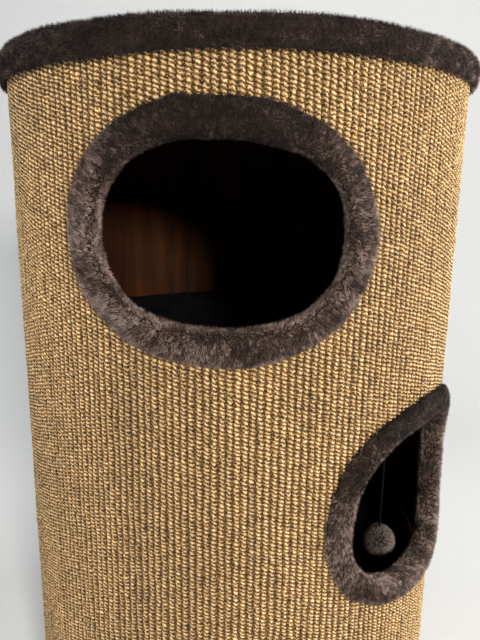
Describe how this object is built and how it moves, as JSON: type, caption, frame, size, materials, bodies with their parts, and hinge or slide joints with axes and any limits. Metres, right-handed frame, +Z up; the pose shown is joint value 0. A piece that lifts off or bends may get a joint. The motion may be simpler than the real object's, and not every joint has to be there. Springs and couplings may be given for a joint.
{
  "type": "cat tree",
  "caption": "Round upright cat barrel wrapped in ribbed sisal, with stacked plush-lined caves, plush-bound oval doorways, a plush rim and a hanging toy ball.",
  "frame": {"origin": "centre of the round base, on the surface that the barrel stands on", "axes": "+Z up along the barrel; -Y is the front, where the upper and lower doorways face; the side doorway faces 54 degrees from the front towards +X"},
  "size_m": [0.5139, 0.514, 0.845],
  "materials": {
    "sisal": "boucle weave, natural golden tan",
    "plush": "short pile, dark brown",
    "mat_plush": "short flattened pile, very dark brown grey",
    "plywood": "unfinished thin plywood, upright grain",
    "board": "raw fibreboard",
    "foot_plastic": "moulded, fine grain",
    "zinc_steel": "zinc plated",
    "staple_steel": "drawn wire",
    "toy_cord": "braided",
    "toy_plush": "long soft pile"
  },
  "bodies": {
    "root": {"back_wall": "plywood", "base_board": "board", "base_cover": "plush", "base_plug": "board", "base_screws": "zinc_steel", "cover_staples": "staple_steel", "floor_screws": "zinc_steel", "foot_pads": "foot_plastic", "foot_screws": "zinc_steel", "front_wall": "plywood", "lower_mat": "mat_plush", "lower_trim": "plush", "middle_floor": "board", "middle_mat": "mat_plush", "plug_screws": "zinc_steel", "screw_eye": "zinc_steel", "seam_strip_left": "plywood", "seam_strip_right": "plywood", "side_trim": "plush", "sisal_sleeve": "sisal", "top_board": "board", "top_cover": "plush", "top_plug": "board", "top_screws": "zinc_steel", "trim_staples": "staple_steel", "upper_floor": "board", "upper_mat": "mat_plush", "upper_trim": "plush"},
    "link": {"toy_link": "zinc_steel"},
    "toy": {"toy_cord": "toy_cord", "plush_ball": "toy_plush"}
  },
  "joints": [
    {"name": "toy_swing_inwards", "type": "hinge", "parent": "root", "child": "link", "pos_m": [0.16819, -0.09828, 0.52935], "axis": [0.5045, 0.8634, 0], "range_deg": [-2, 45]},
    {"name": "toy_swing_sideways", "type": "hinge", "parent": "link", "child": "toy", "pos_m": [0.16819, -0.09828, 0.51985], "axis": [0.8634, -0.5045, 0], "range_deg": [-10, 10]}
  ]
}
